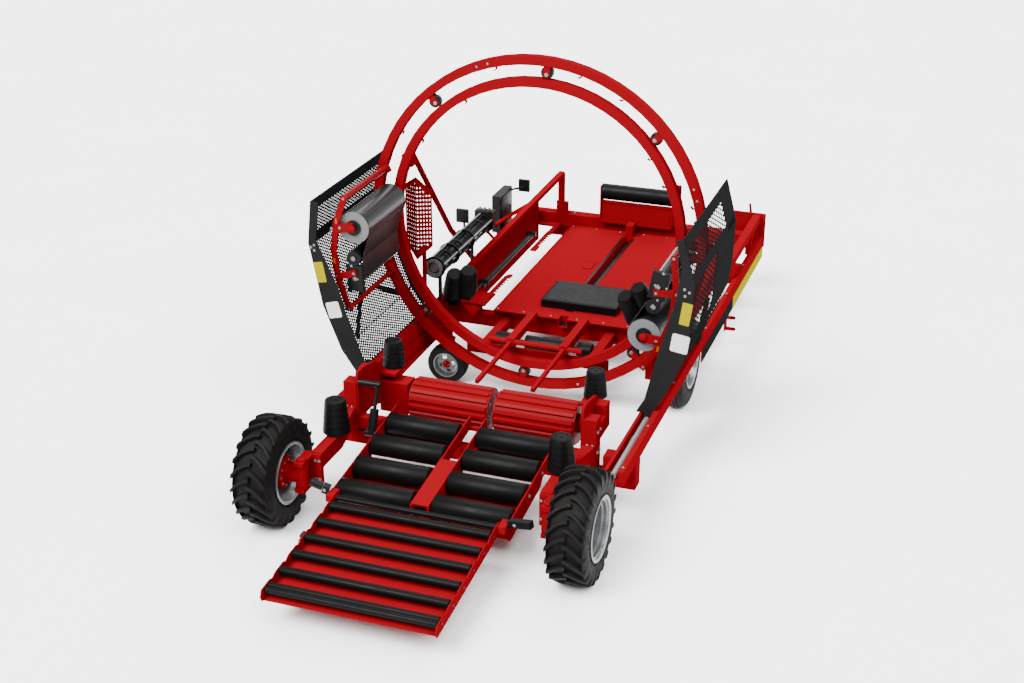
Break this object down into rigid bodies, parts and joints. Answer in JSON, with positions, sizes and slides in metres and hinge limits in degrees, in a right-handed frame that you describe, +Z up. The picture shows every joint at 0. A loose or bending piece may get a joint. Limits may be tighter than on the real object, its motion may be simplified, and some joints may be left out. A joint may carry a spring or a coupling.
{
  "type": "bale wrapper",
  "caption": "Towed in-line bale wrapper: a film hoop with two stretchers round a bale path from a front deck and pusher to ribbed drums, a roller platform and a tail ramp.",
  "frame": {"origin": "on the ground, at the centre of the outer box's base, close under the hoop's axis", "axes": "+X to the machine's right, +Y to its front, +Z up"},
  "size_m": [2.972, 7.285, 2.864],
  "materials": {
    "black_paint": "satin",
    "black_rubber": "matt",
    "bright_steel": "bright",
    "film": "gloss",
    "red_paint": "gloss",
    "rubber": "matt",
    "silver_paint": "satin"
  },
  "bodies": {
    "chassis": {"left_rail": "red_paint", "right_beam": "red_paint", "side_rod": "bright_steel", "rear_cross": "red_paint", "right_inner_rail": "red_paint", "front_beam": "red_paint", "drawbar": "red_paint", "post_left": "red_paint", "post_right": "red_paint", "cone_mid_left": "black_rubber", "cone_mid_right": "black_rubber", "arm_left": "red_paint", "arm_right": "red_paint", "cone_rear_left": "black_rubber", "cone_rear_right": "black_rubber", "castor_bracket": "red_paint", "fixed_ring": "red_paint", "guard_left": "black_paint", "guard_right": "black_paint", "platform_frame": "red_paint", "platform_rollers_left": "black_paint", "platform_rollers_right": "black_paint", "lift_cylinder": "black_paint", "deck": "red_paint", "deck_pad": "black_rubber", "ring_mounts": "red_paint", "support_fingers": "red_paint", "deck_rollers": "black_paint", "deck_side": "red_paint", "guide_rods": "black_paint", "cones_front_left": "black_rubber", "cones_front_right": "black_rubber", "hoop_strut": "red_paint", "hoop_screen": "red_paint", "hydraulic_unit": "black_paint", "cabinet": "black_paint"},
    "knuckle_body_left": {"knuckle_left": "red_paint"},
    "knuckle_body_right": {"knuckle_right": "red_paint"},
    "wheel_left": {"tyre_left": "rubber", "rim_left": "silver_paint"},
    "wheel_right": {"tyre_right": "rubber", "rim_right": "silver_paint"},
    "wheel_front": {"tyre_front": "rubber", "rim_front": "silver_paint"},
    "castor_swivel_body": {"castor_fork": "red_paint"},
    "castor_wheel": {"castor_tyre": "rubber", "castor_rim": "silver_paint"},
    "rotor": {"turning_ring": "red_paint", "stretcher_left": "red_paint", "stretcher_right": "red_paint", "film_left": "film", "film_right": "film", "stretch_rollers_left": "black_paint", "stretch_rollers_right": "black_paint"},
    "drum_body_left": {"drum_left": "red_paint"},
    "drum_body_right": {"drum_right": "red_paint"},
    "ramp": {"ramp_tray": "red_paint", "ramp_rollers": "black_paint"},
    "pusher_body": {"pusher": "red_paint", "pusher_roller": "black_paint"}
  },
  "joints": [
    {"name": "hoop_turn", "type": "hinge", "parent": "chassis", "child": "rotor", "pos_m": [0, 0, 1.499], "axis": [0, 1, 0], "continuous": true},
    {"name": "ramp_fold", "type": "hinge", "parent": "chassis", "child": "ramp", "pos_m": [0, -2.507, 0.343], "axis": [-1, 0, 0], "range_deg": [-4, 88]},
    {"name": "pusher_travel", "type": "slide", "parent": "chassis", "child": "pusher_body", "axis": [0, -1, 0], "range_m": [0, 1.4]},
    {"name": "drum_turn_left", "type": "hinge", "parent": "chassis", "child": "drum_body_left", "pos_m": [-0.2825, -1.062, 0.43], "axis": [1, 0, 0], "continuous": true},
    {"name": "drum_turn_right", "type": "hinge", "parent": "chassis", "child": "drum_body_right", "pos_m": [0.3925, -1.062, 0.43], "axis": [1, 0, 0], "continuous": true},
    {"name": "steer_left", "type": "hinge", "parent": "chassis", "child": "knuckle_body_left", "pos_m": [-0.9, -2.379, 0.3935], "axis": [0, 0, 1], "range_deg": [-12, 12]},
    {"name": "steer_right", "type": "hinge", "parent": "chassis", "child": "knuckle_body_right", "pos_m": [0.9, -2.379, 0.3935], "axis": [0, 0, 1], "range_deg": [-12, 12]},
    {"name": "wheel_spin_left", "type": "hinge", "parent": "knuckle_body_left", "child": "wheel_left", "pos_m": [-1.1225, -2.379, 0.3935], "axis": [1, 0, 0], "continuous": true},
    {"name": "wheel_spin_right", "type": "hinge", "parent": "knuckle_body_right", "child": "wheel_right", "pos_m": [1.1225, -2.379, 0.3935], "axis": [1, 0, 0], "continuous": true},
    {"name": "wheel_spin_front", "type": "hinge", "parent": "chassis", "child": "wheel_front", "pos_m": [1.12, 0.37, 0.36], "axis": [1, 0, 0], "continuous": true},
    {"name": "castor_turn", "type": "hinge", "parent": "chassis", "child": "castor_swivel_body", "pos_m": [-0.8, 0.12, 0.17], "axis": [0, 0, 1], "range_deg": [-90, 90]},
    {"name": "wheel_spin_castor", "type": "hinge", "parent": "castor_swivel_body", "child": "castor_wheel", "pos_m": [-0.8, 0.12, 0.17], "axis": [0, 1, 0], "continuous": true}
  ]
}
